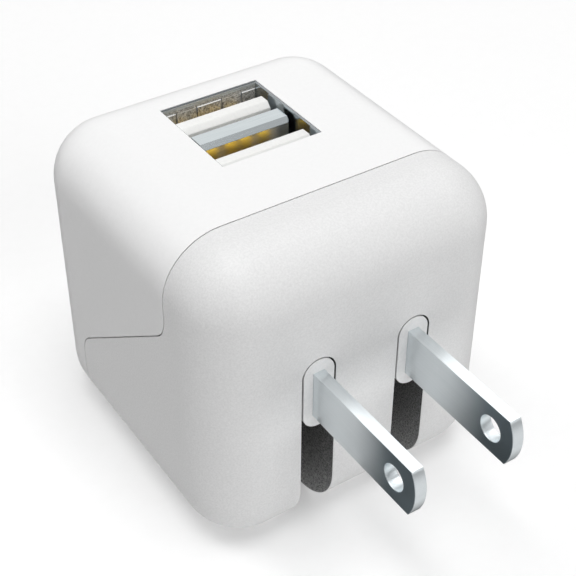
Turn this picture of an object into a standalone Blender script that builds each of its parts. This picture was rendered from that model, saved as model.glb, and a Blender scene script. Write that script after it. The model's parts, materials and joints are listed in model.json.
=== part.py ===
"""USB wall charger with folding blades, as an assembly of separate pieces.

Frame: +Z up, the blades point to -Y, and the origin is the centre of the bottom face.
The blades and the white rotor that carries them turn about one axis along X, 90 degrees
down into the slots. Everything else is fixed.
"""
import math

import bmesh
import bpy
from mathutils import Matrix, Vector

MM = 0.001

# Body and casing
BODY_WIDTH = 39.2 * MM
BODY_DEPTH = 40.6 * MM
BODY_HEIGHT = 40.0 * MM
BODY_ROUND = 7.1 * MM
WALL = 1.9 * MM
GAP = 0.3 * MM                  # clearance between pieces that meet

# Seam between the two casing halves, seen from the side
SEAM_TOP_SETBACK = 9.4 * MM     # behind the front face, along the top
SEAM_LOW_SETBACK = 8.7 * MM     # in front of the rear face, along the bottom
SEAM_HIGH_Z = 28.65 * MM        # where the upright and the slanting run meet
SEAM_LOW_Z = 12.0 * MM
SEAM_ROUND = 4.4 * MM
LIP_REACH = 1.2 * MM            # tongue of the front half inside the rear half

# Blades
BLADE_SPACING = 12.7 * MM
BLADE_THICKNESS = 1.5 * MM
BLADE_HEIGHT = 6.2 * MM
BLADE_REACH = 17.85 * MM        # from the front face to the tip
BLADE_TIP_ROUND = 6.0 * MM
BLADE_HOLE_RADIUS = 1.58 * MM
BLADE_HOLE_REACH = 14.35 * MM   # from the front face to the hole's centre

# Rotor that carries the blades
PIVOT_SETBACK = 3.85 * MM       # axis behind the front face, and radius of the hubs
PIVOT_RISE = 0.95 * MM          # axis above the blades' centre line
TIP_CLEARANCE = 0.35 * MM       # folded blade tip above the bottom face
NOSE_WIDTH = 3.95 * MM
SHAFT_RADIUS = 1.6 * MM
DETENT_FLAT = 1.25 * MM         # flats on the shaft, from its axis
DETENT_WIDTH = 4.2 * MM
BLADE_FIT = 0.24 * MM           # rotor's pocket round the blade
TAIL_INSET = 0.85 * MM          # blade's contact lug inside the hub's rim
TAIL_RISE = 0.9 * MM            # lug above the axis

# Slots and the liner that carries the bearings
SLOT_CLEARANCE = 0.22 * MM      # round the nose
LINER_WALL = 0.6 * MM
SWING_CLEARANCE = 0.35 * MM
BEARING_CLEARANCE = 0.2 * MM
BEARING_WALL = 1.6 * MM
BRIDGE_HEIGHT = 11.0 * MM
RETAINER_THICKNESS = 1.2 * MM
SPRING_THICKNESS = 0.3 * MM
SPRING_RISE = 2.6 * MM          # half of the spring's flat crown and its slope
CONTACT_STRIP = 0.4 * MM
CONTACT_WIDTH = 2.0 * MM
CONTACT_ARM = 2.6 * MM          # contact's arm above the axis
CONTACT_TAB = 3.0 * MM          # contact's tab above the slot's top
SHEET_BEND = 0.7 * MM           # bend radius of springs and contacts
LEAD_RADIUS = 0.65 * MM
LEAD_BEND = 2.4 * MM            # straight run of a lead at each end

# Receptacle with two stacked ports, opening upwards
WINDOW_WIDTH = 13.18 * MM
WINDOW_DEPTH = 14.13 * MM
WINDOW_SETBACK = 7.85 * MM      # from the rear face to the window
SHEET = 0.3 * MM                # receptacle sheet metal
SHELL_CLEARANCE = 0.1 * MM      # receptacle shell in its window
SHELL_RECESS = 0.15 * MM        # shell mouth below the top face
SHELL_HEIGHT = 14.6 * MM
TONGUE_WIDTH = 11.75 * MM
TONGUE_THICKNESS = 1.95 * MM
TONGUE_RECESS = 0.8 * MM
TONGUE_CHAMFER = 0.2 * MM
TONGUE_LEAD_IN = 0.65 * MM       # slope along the front of the tip
TONGUE_BACK_GAP = 0.53 * MM     # front tongue behind the shell's front wall
PORT_PITCH = 8.8 * MM
INSULATOR_BASE = 2.6 * MM
DIVIDER_RECESS = 0.8 * MM
DIVIDER_THICKNESS = 2.63 * MM
DIVIDER_SLOPE = 0.63 * MM       # depth of the sloping front edge
DIVIDER_DROP = 0.53 * MM
DIVIDER_END_GAP = 0.29 * MM     # divider's ends inside the shell
DIVIDER_SETBACK = 1.45 * MM     # divider in front of the rear tongue
PIN_WIDTH = 1.0 * MM
PIN_THICKNESS = 0.25 * MM
PIN_RECESS = 1.6 * MM           # contact tip below the tongue tip
PIN_PLACES = (-3.5 * MM, -1.0 * MM, 1.0 * MM, 3.5 * MM)

# Boards
BOARD_THICKNESS = 1.2 * MM
MAIN_BOARD_BACK_SPACE = 3.4 * MM
MAIN_BOARD_MARGIN = 1.9 * MM
MAIN_BOARD_CORNER = 1.5 * MM
USB_BOARD_OVERHANG = 1.9 * MM

# Transformer, with widths as shares of the bay's half width
CORE_SHARE = 0.88
CORE_HEIGHT = 6.0 * MM
CORE_LENGTH = 11.6 * MM
CORE_LEG_SHARE = 0.112
CORE_CENTRE_SHARE = 0.21
BOBBIN_WALL = 0.6 * MM
BOBBIN_FLANGE = 0.8 * MM
WINDING_HEIGHT = 11.0 * MM

# Other electrical parts, with the cans' radii as shares of the bay's half width
INPUT_CAP_SHARE = 0.22
INPUT_CAP_LENGTH = 12.0 * MM
OUTPUT_CAP_SHARE = 0.21
OUTPUT_CAP_LENGTH = 9.5 * MM
FUSE_RADIUS = 1.5 * MM
FUSE_LENGTH = 6.5 * MM
DISC_RADIUS = 3.0 * MM
DISC_THICKNESS = 2.6 * MM
CHIP_HEIGHT = 1.7 * MM
CAN_STATIONS = ((1, 0), (1, 0.1), (0.9, 0.16), (1, 0.22), (1, 0.96), (0.9, 1))   # radius, length
CAN_SHARES = (0.27, 0.77)       # height of the lower and the upper row in their bay
CHIPS = (                       # name, place across and up the board, width and height
    ("bridge_rectifier", -0.55, 0.25, 4.8 * MM, 4.0 * MM),
    ("controller_chip", 0.0, 0.45, 5.0 * MM, 4.0 * MM),
    ("output_diode", 0.5, 0.3, 4.4 * MM, 2.7 * MM),
    ("feedback_coupler", 0.45, 0.7, 4.6 * MM, 4.4 * MM),
)

# Roundness of the meshes
BODY_SEGMENTS = 6
INNER_SEGMENTS = 3
ARC_STEP = math.radians(15)
RING_SIDES = 24

# Places worked out from the sizes above
FRONT_Y = -BODY_DEPTH / 2
REAR_Y = BODY_DEPTH / 2
SEAM_TOP_Y = FRONT_Y + SEAM_TOP_SETBACK
SEAM_LOW_Y = REAR_Y - SEAM_LOW_SETBACK
PIVOT_Y = FRONT_Y + PIVOT_SETBACK
PIVOT_Z = TIP_CLEARANCE + BLADE_REACH + PIVOT_SETBACK
PIVOT = Vector((0, PIVOT_Y, PIVOT_Z))
BLADE_X = BLADE_SPACING / 2
BLADE_Z = PIVOT_Z - PIVOT_RISE
NOSE_TOP_Z = PIVOT_Z + PIVOT_SETBACK
NOSE_LOW_Z = NOSE_TOP_Z - 2 * (PIVOT_SETBACK + PIVOT_RISE)
SWING_RADIUS = math.hypot(PIVOT_SETBACK, PIVOT_Z - NOSE_LOW_Z) + SWING_CLEARANCE
SLOT_HALF = NOSE_WIDTH / 2 + SLOT_CLEARANCE
SLOT_TOP_Z = NOSE_TOP_Z + SLOT_CLEARANCE
LINER_HALF = SLOT_HALF + LINER_WALL
POCKET_REAR_Y = PIVOT_Y + SWING_RADIUS
LINER_REAR_Y = POCKET_REAR_Y + LINER_WALL
SHAFT_HALF = BODY_WIDTH / 2 - BODY_ROUND - GAP
RETAINER_FINGER = (SHAFT_HALF - BLADE_X - NOSE_WIDTH / 2) / 2
BEARING_HALF = SHAFT_HALF + BEARING_CLEARANCE + BEARING_WALL
WINDOW_REAR_Y = REAR_Y - WINDOW_SETBACK
WINDOW_FRONT_Y = WINDOW_REAR_Y - WINDOW_DEPTH
SHELL_TOP_Z = BODY_HEIGHT - SHELL_RECESS
SHELL_LOW_Z = SHELL_TOP_Z - SHELL_HEIGHT
TONGUE_FRONT_Y = WINDOW_FRONT_Y + SHELL_CLEARANCE + SHEET + TONGUE_BACK_GAP
TONGUE_TOP_Z = BODY_HEIGHT - TONGUE_RECESS
BASE_TOP_Z = SHELL_LOW_Z + INSULATOR_BASE
USB_BOARD_TOP_Z = SHELL_LOW_Z - GAP
USB_BOARD_LOW_Z = USB_BOARD_TOP_Z - BOARD_THICKNESS
MAIN_BOARD_REAR_Y = REAR_Y - WALL - MAIN_BOARD_BACK_SPACE
MAIN_BOARD_FRONT_Y = MAIN_BOARD_REAR_Y - BOARD_THICKNESS
MAIN_BOARD_HALF = BODY_WIDTH / 2 - WALL - MAIN_BOARD_MARGIN
MAIN_BOARD_LOW_Z = WALL + MAIN_BOARD_MARGIN + GAP
MAIN_BOARD_TOP_Z = BODY_HEIGHT - WALL - MAIN_BOARD_MARGIN - BOARD_THICKNESS
BAY_LOW_Z = WALL + GAP          # room under the receptacle's board
BAY_TOP_Z = USB_BOARD_LOW_Z - GAP
BAY_Z = (BAY_LOW_Z + BAY_TOP_Z) / 2
PARTS_X = MAIN_BOARD_HALF - BOARD_THICKNESS - GAP
PARTS_Y = MAIN_BOARD_FRONT_Y - GAP
CORE_WIDTH = PARTS_X * CORE_SHARE
CORE_LEG = PARTS_X * CORE_LEG_SHARE
CORE_CENTRE_LEG = PARTS_X * CORE_CENTRE_SHARE
INPUT_CAP_RADIUS = PARTS_X * INPUT_CAP_SHARE
OUTPUT_CAP_RADIUS = PARTS_X * OUTPUT_CAP_SHARE
FUSE_TOP_Z = USB_BOARD_TOP_Z + 2 * FUSE_RADIUS
LEAD_X = (WINDOW_WIDTH / 2 + PARTS_X - 2 * FUSE_RADIUS) / 2
USB_BOARD_HALF = LEAD_X - LEAD_RADIUS - GAP
CHOKE_RADIUS = (PARTS_X - LEAD_X - LEAD_RADIUS - GAP) / 2


def finish(name, colour, roughness, metallic=0.0):
    """A Principled material in linear colour."""
    made = bpy.data.materials.new(name)
    made.use_nodes = True
    made.diffuse_color = (*colour, 1.0)
    shader = made.node_tree.nodes["Principled BSDF"]
    shader.inputs["Base Color"].default_value = (*colour, 1.0)
    shader.inputs["Roughness"].default_value = roughness
    shader.inputs["Metallic"].default_value = metallic
    return made


def box(low, high):
    """Box between two corners."""
    form = bmesh.new()
    bmesh.ops.create_cube(form, size=1.0)
    size = Vector(high) - Vector(low)
    centre = (Vector(high) + Vector(low)) / 2
    place = Matrix.Translation(centre) @ Matrix.Diagonal((*size, 1))
    bmesh.ops.transform(form, matrix=place, verts=form.verts)
    return form


def rounded_box(low, high, radius, segments):
    """Box with all its edges rounded to one radius."""
    form = box(low, high)
    bmesh.ops.bevel(form, geom=form.edges[:], offset=radius, segments=segments, profile=0.5,
                    affect="EDGES", clamp_overlap=True)
    return form


def body_box(inset, segments):
    """The body's rounded outer form, or a smaller one inside it."""
    low = (-BODY_WIDTH / 2 + inset, FRONT_Y + inset, inset)
    high = (BODY_WIDTH / 2 - inset, REAR_Y - inset, BODY_HEIGHT - inset)
    return rounded_box(low, high, BODY_ROUND - inset, segments)


def along(axis, u, v, w):
    """Point from two places across an axis, X (y, z), Y (x, z) or Z (x, y), and one along it."""
    return {"X": (w, u, v), "Y": (u, w, v), "Z": (u, v, w)}[axis]


def prism(outline, axis, low, high):
    """Closed outline of 2D points carried along an axis."""
    form = bmesh.new()
    base = form.faces.new([form.verts.new(along(axis, u, v, low)) for u, v in outline])
    grown = bmesh.ops.extrude_face_region(form, geom=[base])
    raised = [item for item in grown["geom"] if isinstance(item, bmesh.types.BMVert)]
    bmesh.ops.translate(form, verts=raised, vec=Vector(along(axis, 0, 0, high - low)))
    bmesh.ops.recalc_face_normals(form, faces=form.faces[:])
    return form


def turned(centre, axis, stations):
    """Round form on an axis, from its radius at each place along it."""
    form = bmesh.new()
    turns = [2 * math.pi * side / RING_SIDES for side in range(RING_SIDES)]
    circle = [Vector((math.cos(turn), math.sin(turn))) for turn in turns]
    rings = []
    for radius, place in stations:
        points = [Vector(centre) + radius * point for point in circle]
        rings.append([form.verts.new(along(axis, u, v, place)) for u, v in points])
    for ring, following in zip(rings, rings[1:]):
        for side in range(RING_SIDES):
            after = (side + 1) % RING_SIDES
            form.faces.new((ring[side], ring[after], following[after], following[side]))
    form.faces.new(rings[0])
    form.faces.new(rings[-1])
    bmesh.ops.recalc_face_normals(form, faces=form.faces[:])
    return form


def arc(centre, radius, start, end):
    """Points along an arc from start to end, in degrees."""
    turn = math.radians(end - start)
    steps = max(2, round(abs(turn) / ARC_STEP))
    angles = [math.radians(start) + turn * step / steps for step in range(steps + 1)]
    return [(centre[0] + radius * math.cos(a), centre[1] + radius * math.sin(a)) for a in angles]


def disc(radius, centre=(0, 0)):
    """Closed circle."""
    return arc(centre, radius, 0, 360)[:-1]


def rounded_path(points, radii):
    """Open path whose inner corners are rounded to the radii given for them."""
    path = [Vector(points[0])]
    for before, corner, after, radius in zip(points, points[1:], points[2:], radii):
        corner = Vector(corner)
        inward = (Vector(before) - corner).normalized()
        outward = (Vector(after) - corner).normalized()
        half = inward.angle(outward) / 2
        centre = corner + (inward + outward).normalized() * radius / math.sin(half)
        start = corner + inward * radius / math.tan(half) - centre
        end = corner + outward * radius / math.tan(half) - centre
        turn = start.angle_signed(end)
        steps = max(2, round(abs(turn) / ARC_STEP))
        for step in range(steps + 1):
            path.append(centre + Matrix.Rotation(-turn * step / steps, 2) @ start)
    path.append(Vector(points[-1]))
    return [tuple(point) for point in path]


def strip(path, thickness):
    """Outline of a bent sheet whose left side follows an open path."""
    points = [Vector(point) for point in path]
    runs = [(after - before).normalized() for before, after in zip(points, points[1:])]
    far = []
    for place, point in enumerate(points):
        before = runs[max(place - 1, 0)]
        after = runs[min(place, len(runs) - 1)]
        side = (Vector((before.y, -before.x)) + Vector((after.y, -after.x))).normalized()
        far.append(point + side * thickness / side.dot(Vector((after.y, -after.x))))
    return [tuple(point) for point in points + far[::-1]]


def piece(name, form, look, origin=(0, 0, 0), parent=None):
    """Named object from a form drawn in world coordinates, with its origin where asked."""
    mesh = bpy.data.meshes.new(name)
    form.to_mesh(mesh)
    form.free()
    mesh.transform(Matrix.Translation(-Vector(origin)))
    mesh.materials.append(look)
    made = bpy.data.objects.new(name, mesh)
    bpy.context.scene.collection.objects.link(made)
    made.location = Vector(origin) - (parent.location if parent else Vector())
    made.parent = parent
    bpy.context.view_layer.update()
    return made


def form_of(temporary):
    """The form of a temporary piece, which is removed."""
    form = bmesh.new()
    form.from_mesh(temporary.data)
    bpy.data.objects.remove(temporary)
    return form


def combine(target, form, operation):
    """One exact Boolean with a form in world coordinates, applied to the target's mesh."""
    tool = piece("tool", form, target.data.materials[0])
    modifier = target.modifiers.new(operation, "BOOLEAN")
    modifier.operation = operation
    modifier.solver = "EXACT"
    modifier.object = tool
    shaped = target.evaluated_get(bpy.context.evaluated_depsgraph_get())
    mesh = bpy.data.meshes.new_from_object(shaped)
    target.modifiers.clear()
    target.data = mesh
    mesh.name = target.name
    bpy.data.objects.remove(tool)


def cut(target, *forms):
    """Take forms away from a piece."""
    for form in forms:
        combine(target, form, "DIFFERENCE")


def join(target, *forms):
    """Add forms to a piece."""
    for form in forms:
        combine(target, form, "UNION")


def keep(target, form):
    """Keep only what lies inside a form."""
    combine(target, form, "INTERSECT")


def smooth(target, angle=40):
    """Shade the round faces smooth and keep the true edges sharp."""
    target.data.shade_smooth()
    target.data.set_sharp_from_angle(angle=math.radians(angle))


def seam_line(offset):
    """The seam from top to bottom as (y, z), moved by offset towards the rear half."""
    lean = Vector((SEAM_LOW_Y - SEAM_TOP_Y, SEAM_LOW_Z - SEAM_HIGH_Z)).normalized()
    start = Vector((SEAM_TOP_Y, SEAM_HIGH_Z)) + Vector((-lean.y, lean.x)) * offset
    top_y = SEAM_TOP_Y + offset
    low_y = SEAM_LOW_Y + offset
    upper = start + lean * (top_y - start.x) / lean.x
    lower = start + lean * (low_y - start.x) / lean.x
    points = [(top_y, BODY_HEIGHT + WALL), upper, lower, (low_y, -WALL)]
    return rounded_path(points, (SEAM_ROUND - offset, SEAM_ROUND + offset))


def seam_side(offset, outer_y):
    """Everything between the seam and a plane in front of or behind the body."""
    outline = seam_line(offset) + [(outer_y, -WALL), (outer_y, BODY_HEIGHT + WALL)]
    return prism(outline, "X", -BODY_WIDTH, BODY_WIDTH)


def seam_band(start, end):
    """The stretch between two copies of the seam."""
    return prism(seam_line(start) + seam_line(end)[::-1], "X", -BODY_WIDTH, BODY_WIDTH)


def slot_outline(x, half, top, low):
    """Slot with a round top as (x, z)."""
    return arc((x, top - half), half, 180, 0) + [(x + half, low), (x - half, low)]


def build_front_shell(look):
    """Front and lower half of the casing, with its inner lip and the two slots."""
    shell = piece("front_shell", body_box(0, BODY_SEGMENTS), look)
    cut(shell, body_box(WALL, INNER_SEGMENTS))
    keep(shell, seam_side(0, FRONT_Y - WALL))
    lip = piece("lip", body_box(WALL / 2 + GAP / 2, BODY_SEGMENTS), look)
    cut(lip, body_box(WALL, INNER_SEGMENTS))
    keep(lip, seam_band(-LIP_REACH / 2, LIP_REACH))
    join(shell, form_of(lip))
    for x in (-BLADE_X, BLADE_X):
        outline = slot_outline(x, LINER_HALF + GAP, SLOT_TOP_Z + LINER_WALL + GAP, -WALL)
        cut(shell, prism(outline, "Y", FRONT_Y - WALL, LINER_REAR_Y + GAP))
    smooth(shell)
    return shell


def build_rear_shell(look):
    """Top and rear half of the casing, with the receptacle window and the board guides."""
    shell = piece("rear_shell", body_box(0, BODY_SEGMENTS), look)
    cut(shell, body_box(WALL, INNER_SEGMENTS))
    keep(shell, seam_side(GAP, REAR_Y + WALL))
    rebate = piece("rebate", body_box(WALL / 2 - GAP / 2, BODY_SEGMENTS), look)
    keep(rebate, seam_band(-LIP_REACH, LIP_REACH + GAP))
    cut(shell, form_of(rebate))
    low = (-WINDOW_WIDTH / 2, WINDOW_FRONT_Y, BODY_HEIGHT - 2 * WALL)
    high = (WINDOW_WIDTH / 2, WINDOW_REAR_Y, BODY_HEIGHT + WALL)
    cut(shell, box(low, high))
    guide = BOARD_THICKNESS
    inner = MAIN_BOARD_HALF - guide
    outer = BODY_WIDTH / 2 - WALL / 2
    guide_low = SEAM_LOW_Z + 2 * LIP_REACH + SEAM_ROUND / 2
    guide_high = BODY_HEIGHT - BODY_ROUND
    for side in (-1, 1):
        for y in (MAIN_BOARD_FRONT_Y - GAP - guide, MAIN_BOARD_REAR_Y + GAP):
            ends = sorted((side * inner, side * outer))
            join(shell, box((ends[0], y, guide_low), (ends[1], y + guide, guide_high)))
    smooth(shell)
    return shell


def build_blade_cradle(look):
    """Dark liner of both slots, with the rotor's bearings and the web between them."""
    liner_top = SLOT_TOP_Z + LINER_WALL
    inner_face = FRONT_Y + WALL + GAP
    web_x = BLADE_X - LINER_HALF + LINER_WALL / 2
    web_low = WALL + GAP
    web = box((-web_x, inner_face, web_low), (web_x, inner_face + BEARING_WALL, web_low + BRIDGE_HEIGHT))
    cradle = piece("blade_cradle", web, look)
    for side in (-1, 1):
        ends = sorted((side * (BLADE_X + LINER_HALF - LINER_WALL / 2), side * BEARING_HALF))
        low_z = PIVOT_Z - SHAFT_RADIUS - BEARING_CLEARANCE - BEARING_WALL
        high_z = PIVOT_Z + SHAFT_RADIUS + BEARING_CLEARANCE + BEARING_WALL
        join(cradle, box((ends[0], inner_face, low_z), (ends[1], LINER_REAR_Y, high_z)))
    keep(cradle, body_box(WALL + GAP, INNER_SEGMENTS))
    for x in (-BLADE_X, BLADE_X):
        outline = slot_outline(x, LINER_HALF, liner_top, -WALL)
        liner = piece("liner", prism(outline, "Y", FRONT_Y - WALL, LINER_REAR_Y), look)
        keep(liner, body_box(0, BODY_SEGMENTS))
        join(cradle, form_of(liner))
    for x in (-BLADE_X, BLADE_X):
        pocket = slot_outline(x, SLOT_HALF, SLOT_TOP_Z, -2 * WALL)
        cut(cradle, prism(pocket, "Y", FRONT_Y - 2 * WALL, POCKET_REAR_Y))
        loading = slot_outline(x, SLOT_HALF, SLOT_TOP_Z, PIVOT_Z - SWING_RADIUS)
        cut(cradle, prism(loading, "Y", PIVOT_Y, LINER_REAR_Y + WALL))
    journal = SHAFT_RADIUS + BEARING_CLEARANCE
    far = LINER_REAR_Y + WALL
    notch = arc((PIVOT_Y, PIVOT_Z), journal, 90, 270) + [(far, PIVOT_Z - journal), (far, PIVOT_Z + journal)]
    reach = SHAFT_HALF + BEARING_CLEARANCE
    cut(cradle, prism(notch, "X", -reach, reach))
    smooth(cradle)
    return cradle


def nose_profile():
    """The rotor's nose in front of its hub, from the side as (y, z)."""
    core = arc((PIVOT_Y, PIVOT_Z), PIVOT_SETBACK - NOSE_WIDTH / 2, 90, -50)
    heel = (PIVOT_Y - PIVOT_SETBACK / 3, NOSE_LOW_Z)
    return [(FRONT_Y, NOSE_TOP_Z), (PIVOT_Y, NOSE_TOP_Z)] + core + [heel, (FRONT_Y, NOSE_LOW_Z)]


def hub_form(x):
    """The hub as a wheel with a round rim, which turns under the slot's round top."""
    half = NOSE_WIDTH / 2
    rim = arc((x, PIVOT_SETBACK - half), half, 180, 0)
    return turned((PIVOT_Y, PIVOT_Z), "X", [(radius, place) for place, radius in rim])


def nose_section(x):
    """The nose from the front as (x, z), round at both ends."""
    half = NOSE_WIDTH / 2
    return arc((x, NOSE_TOP_Z - half), half, 180, 0) + arc((x, NOSE_LOW_Z + half), half, 0, -180)


def blade_outline(growth):
    """One blade from the side as (y, z), grown by a clearance for the rotor's pocket."""
    half = BLADE_HEIGHT / 2 + growth
    tip_centre = FRONT_Y - BLADE_REACH + BLADE_TIP_ROUND
    spread = math.degrees(math.asin(BLADE_HEIGHT / 2 / BLADE_TIP_ROUND))
    tip = arc((tip_centre, BLADE_Z), BLADE_TIP_ROUND + growth, 180 + spread, 180 - spread)
    tail_y = PIVOT_Y + SHAFT_RADIUS + growth
    lug_y = PIVOT_Y + PIVOT_SETBACK - TAIL_INSET + (PIVOT_SETBACK if growth else 0)
    lug_low = PIVOT_Z + TAIL_RISE - growth
    lug_top = BLADE_Z + half
    return tip + [(lug_y, lug_top), (lug_y, lug_low), (tail_y, lug_low), (tail_y, BLADE_Z - half)]


def build_rotor(look, pivot):
    """White moulding with both noses, turning in the cradle."""
    rotor = piece("blade_rotor", prism(disc(SHAFT_RADIUS, (PIVOT_Y, PIVOT_Z)), "X", -SHAFT_HALF, SHAFT_HALF),
                  look, PIVOT, pivot)
    for x in (-BLADE_X, BLADE_X):
        nose = piece("nose", prism(nose_profile(), "X", x - NOSE_WIDTH, x + NOSE_WIDTH), look)
        keep(nose, prism(nose_section(x), "Y", FRONT_Y - WALL, PIVOT_Y + 2 * PIVOT_SETBACK))
        join(nose, hub_form(x))
        join(rotor, form_of(nose))
    for x in (-BLADE_X, BLADE_X):
        half = BLADE_THICKNESS / 2 + BLADE_FIT
        cut(rotor, prism(blade_outline(BLADE_FIT), "X", x - half, x + half))
    reach = 2 * SHAFT_RADIUS
    behind = box((-DETENT_WIDTH / 2, PIVOT_Y + DETENT_FLAT, PIVOT_Z - reach),
                 (DETENT_WIDTH / 2, PIVOT_Y + reach, PIVOT_Z + reach))
    below = box((-DETENT_WIDTH / 2, PIVOT_Y - reach, PIVOT_Z - reach),
                (DETENT_WIDTH / 2, PIVOT_Y + reach, PIVOT_Z - DETENT_FLAT))
    cut(rotor, behind, below)
    smooth(rotor)
    return rotor


def build_blade(name, x, look, pivot):
    """Flat blade with an arc tip, a hole, and a tail inside the rotor."""
    half = BLADE_THICKNESS / 2
    origin = PIVOT + Vector((x, 0, 0))
    blade = piece(name, prism(blade_outline(0), "X", x - half, x + half), look, origin, pivot)
    hole = disc(BLADE_HOLE_RADIUS, (FRONT_Y - BLADE_HOLE_REACH, BLADE_Z))
    cut(blade, prism(hole, "X", x - 2 * half, x + 2 * half))
    smooth(blade)
    return blade


def build_retainer(look):
    """Bar that closes the bearings, with a finger behind each end of the shaft."""
    low_y = LINER_REAR_Y + GAP
    high_y = low_y + RETAINER_THICKNESS
    half_x = BEARING_HALF - BEARING_CLEARANCE
    low_z = PIVOT_Z - SWING_RADIUS - GAP
    high_z = SLOT_TOP_Z + LINER_WALL
    retainer = piece("rotor_retainer", box((-half_x, low_y, low_z), (half_x, high_y, high_z)), look)
    finger_y = PIVOT_Y + SHAFT_RADIUS + BEARING_CLEARANCE
    for side in (-1, 1):
        ends = sorted((side * (SHAFT_HALF - RETAINER_FINGER), side * SHAFT_HALF))
        low = (ends[0], finger_y, PIVOT_Z - SHAFT_RADIUS)
        high = (ends[1], low_y + RETAINER_THICKNESS / 2, PIVOT_Z + SHAFT_RADIUS)
        join(retainer, box(low, high))
    for x in (-BLADE_X, BLADE_X):
        half = CONTACT_WIDTH / 2 + GAP
        low = (x - half, low_y - GAP, PIVOT_Z + TAIL_RISE)
        cut(retainer, box(low, (x + half, high_y + GAP, high_z + GAP)))
    return retainer


def build_detent_spring(look):
    """Leaf spring whose flat crown bears on the shaft's flats."""
    crown = PIVOT_Y + SHAFT_RADIUS + BEARING_CLEARANCE
    seat = LINER_REAR_Y
    rise = SPRING_RISE
    points = [(seat, PIVOT_Z - 2.2 * rise), (crown, PIVOT_Z - rise / 2), (crown, PIVOT_Z + rise / 2),
              (seat, PIVOT_Z + 1.5 * rise)]
    path = rounded_path(points, (SHEET_BEND, SHEET_BEND))
    half = DETENT_WIDTH / 2 - GAP
    spring = piece("detent_spring", prism(strip(path, SPRING_THICKNESS), "X", -half, half), look)
    smooth(spring, 60)
    return spring


def build_blade_contact(name, x, look):
    """Spring strip that the tail of an unfolded blade presses on."""
    tip_y = PIVOT_Y + PIVOT_SETBACK + GAP
    tab_y = LINER_REAR_Y + RETAINER_THICKNESS + 3 * GAP
    arm_z = PIVOT_Z + CONTACT_ARM
    points = [(tip_y, PIVOT_Z + TAIL_RISE), (tip_y, arm_z), (tab_y, arm_z),
              (tab_y, SLOT_TOP_Z + CONTACT_TAB)]
    path = rounded_path(points, (SHEET_BEND, SHEET_BEND))
    half = CONTACT_WIDTH / 2
    contact = piece(name, prism(strip(path, CONTACT_STRIP), "X", x - half, x + half), look)
    smooth(contact, 60)
    return contact


def build_supply_lead(name, side, look):
    """Wire from a blade contact to the main board, beside the receptacle."""
    start_y = LINER_REAR_Y + RETAINER_THICKNESS + 3 * GAP + CONTACT_STRIP + LEAD_RADIUS + GAP
    end_y = MAIN_BOARD_FRONT_Y - GAP
    height = SLOT_TOP_Z + CONTACT_TAB - 2 * LEAD_RADIUS + GAP
    route = [(BLADE_X, start_y, height), (BLADE_X + 2 * LEAD_RADIUS, start_y + LEAD_RADIUS / 2, height),
             (LEAD_X, start_y + LEAD_BEND, height), (LEAD_X, (start_y + end_y) / 2, height),
             (LEAD_X, end_y - LEAD_BEND, height), (LEAD_X, end_y, height)]
    curve = bpy.data.curves.new(name, "CURVE")
    curve.dimensions = "3D"
    curve.bevel_depth = LEAD_RADIUS
    curve.bevel_resolution = 2
    curve.resolution_u = 3
    curve.use_fill_caps = True
    spline = curve.splines.new("BEZIER")
    spline.bezier_points.add(len(route) - 1)
    for knot, (x, y, z) in zip(spline.bezier_points, route):
        knot.co = (side * x, y, z)
        knot.handle_left_type = "AUTO"
        knot.handle_right_type = "AUTO"
    curve.materials.append(look)
    lead = bpy.data.objects.new(name, curve)
    bpy.context.scene.collection.objects.link(lead)
    return lead


def build_usb_shell(look):
    """Drawn sheet-metal tube of the receptacle."""
    half = WINDOW_WIDTH / 2 - SHELL_CLEARANCE
    front = WINDOW_FRONT_Y + SHELL_CLEARANCE
    rear = WINDOW_REAR_Y - SHELL_CLEARANCE
    shell = piece("usb_shell", box((-half, front, SHELL_LOW_Z), (half, rear, SHELL_TOP_Z)), look)
    low = (SHEET - half, front + SHEET, SHELL_LOW_Z - MM)
    cut(shell, box(low, (half - SHEET, rear - SHEET, BODY_HEIGHT)))
    return shell


def build_usb_divider(look):
    """Folded bar between the ports, closed at the top."""
    rear = TONGUE_FRONT_Y + PORT_PITCH - DIVIDER_SETBACK
    front = rear - DIVIDER_THICKNESS
    top = BODY_HEIGHT - DIVIDER_RECESS
    low = BASE_TOP_Z + GAP
    path = [(front, low), (front, top - DIVIDER_DROP), (front + DIVIDER_SLOPE, top), (rear, top), (rear, low)]
    half = WINDOW_WIDTH / 2 - SHELL_CLEARANCE - SHEET - DIVIDER_END_GAP
    return piece("usb_divider", prism(strip(path, SHEET), "X", -half, half), look)


def build_usb_insulator(look):
    """Moulded base with both tongues and a slot for each contact."""
    half = WINDOW_WIDTH / 2 - 2 * SHELL_CLEARANCE - SHEET
    front = WINDOW_FRONT_Y + 2 * SHELL_CLEARANCE + SHEET
    rear = WINDOW_REAR_Y - 2 * SHELL_CLEARANCE - SHEET
    insulator = piece("usb_insulator", box((-half, front, SHELL_LOW_Z), (half, rear, BASE_TOP_Z)), look)
    for port in (0, 1):
        y = TONGUE_FRONT_Y + port * PORT_PITCH
        edge = TONGUE_CHAMFER
        lead_in = TONGUE_LEAD_IN
        outline = [(y, BASE_TOP_Z - MM), (y + TONGUE_THICKNESS, BASE_TOP_Z - MM),
                   (y + TONGUE_THICKNESS, TONGUE_TOP_Z - edge), (y + TONGUE_THICKNESS - edge, TONGUE_TOP_Z),
                   (y + lead_in, TONGUE_TOP_Z), (y, TONGUE_TOP_Z - lead_in)]
        join(insulator, prism(outline, "X", -TONGUE_WIDTH / 2, TONGUE_WIDTH / 2))
        for x in PIN_PLACES:
            wide = PIN_WIDTH / 2 + SHELL_CLEARANCE
            face = y + TONGUE_THICKNESS
            low = (x - wide, face - SHELL_CLEARANCE, SHELL_LOW_Z - MM)
            high = (x + wide, face + PIN_THICKNESS + 2 * SHELL_CLEARANCE, BASE_TOP_Z + MM)
            cut(insulator, box(low, high))
    return insulator


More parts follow.
